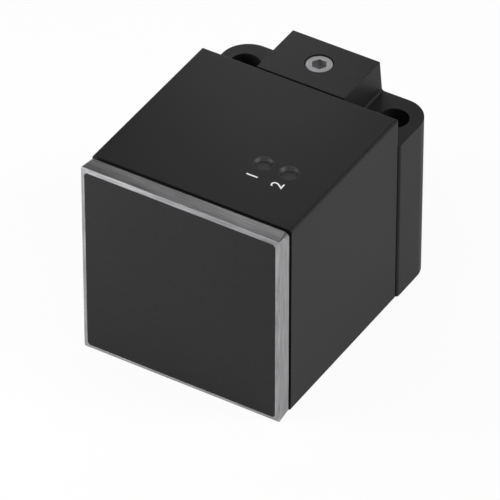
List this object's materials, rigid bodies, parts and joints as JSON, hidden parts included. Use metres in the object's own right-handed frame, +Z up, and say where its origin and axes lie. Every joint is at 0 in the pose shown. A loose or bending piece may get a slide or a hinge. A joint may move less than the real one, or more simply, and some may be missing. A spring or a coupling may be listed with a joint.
{
  "type": "inductive proximity sensor",
  "caption": "Cubic inductive proximity sensor with a metal-framed sensing face, on a plug-in mounting base with screw holes and a round threaded connector.",
  "frame": {"origin": "midway between the two mounting holes, on the mounting face", "axes": "+Z up out of the mounting face along the mounting holes, +Y towards the connector, so that the sensing face looks along -Y"},
  "size_m": [0.0404, 0.062, 0.04],
  "materials": {
    "frame_metal": "satin, brushed lengthways",
    "cap_plastic": "fine matt moulded",
    "housing_plastic": "fine matt moulded",
    "seal_rubber": "matt",
    "shield_metal": "plain rolled",
    "ferrite": "sintered matt",
    "former_plastic": "moulded",
    "copper_wire": "enamelled",
    "carrier_plastic": "moulded",
    "circuit_board": "solder resist",
    "component_plastic": "moulded package",
    "component_metal": "drawn",
    "capacitor_ceramic": "fired",
    "led_white": "glossy",
    "smoked_clear": "polished smoked",
    "solder": "bright",
    "brown_insulation": "extruded",
    "white_insulation": "extruded",
    "blue_insulation": "extruded",
    "black_insulation": "extruded",
    "resin": "cast",
    "insert_brass": "turned",
    "screw_steel": "turned stainless steel",
    "sleeve_metal": "nickel plated",
    "pin_gold": "gold plated"
  },
  "bodies": {
    "root": {"front_frame": "frame_metal", "sensing_cap": "cap_plastic", "frame_gasket": "seal_rubber", "head_housing": "housing_plastic", "shield_ring": "shield_metal", "ferrite_core": "ferrite", "coil_former": "former_plastic", "coil_winding": "copper_wire", "coil_leads": "copper_wire", "core_carrier": "carrier_plastic", "main_board": "circuit_board", "sensor_chip": "component_plastic", "output_transistor": "component_plastic", "voltage_regulator": "component_plastic", "suppressor_diode": "component_plastic", "buffer_capacitor": "component_metal", "ceramic_capacitors": "capacitor_ceramic", "resistors": "component_plastic", "power_led": "led_white", "switching_led": "led_white", "power_light_guide": "smoked_clear", "switching_light_guide": "smoked_clear", "solder_joints": "solder", "brown_lead": "brown_insulation", "white_lead": "white_insulation", "blue_lead": "blue_insulation", "black_lead": "black_insulation", "tail_potting": "resin", "tail_seal": "seal_rubber", "base_block": "housing_plastic", "screw_insert": "insert_brass", "lock_screw": "screw_steel", "connector_sleeve": "sleeve_metal", "sleeve_seal": "seal_rubber", "contact_carrier": "housing_plastic", "contact_pins": "pin_gold"}
  },
  "joints": []
}
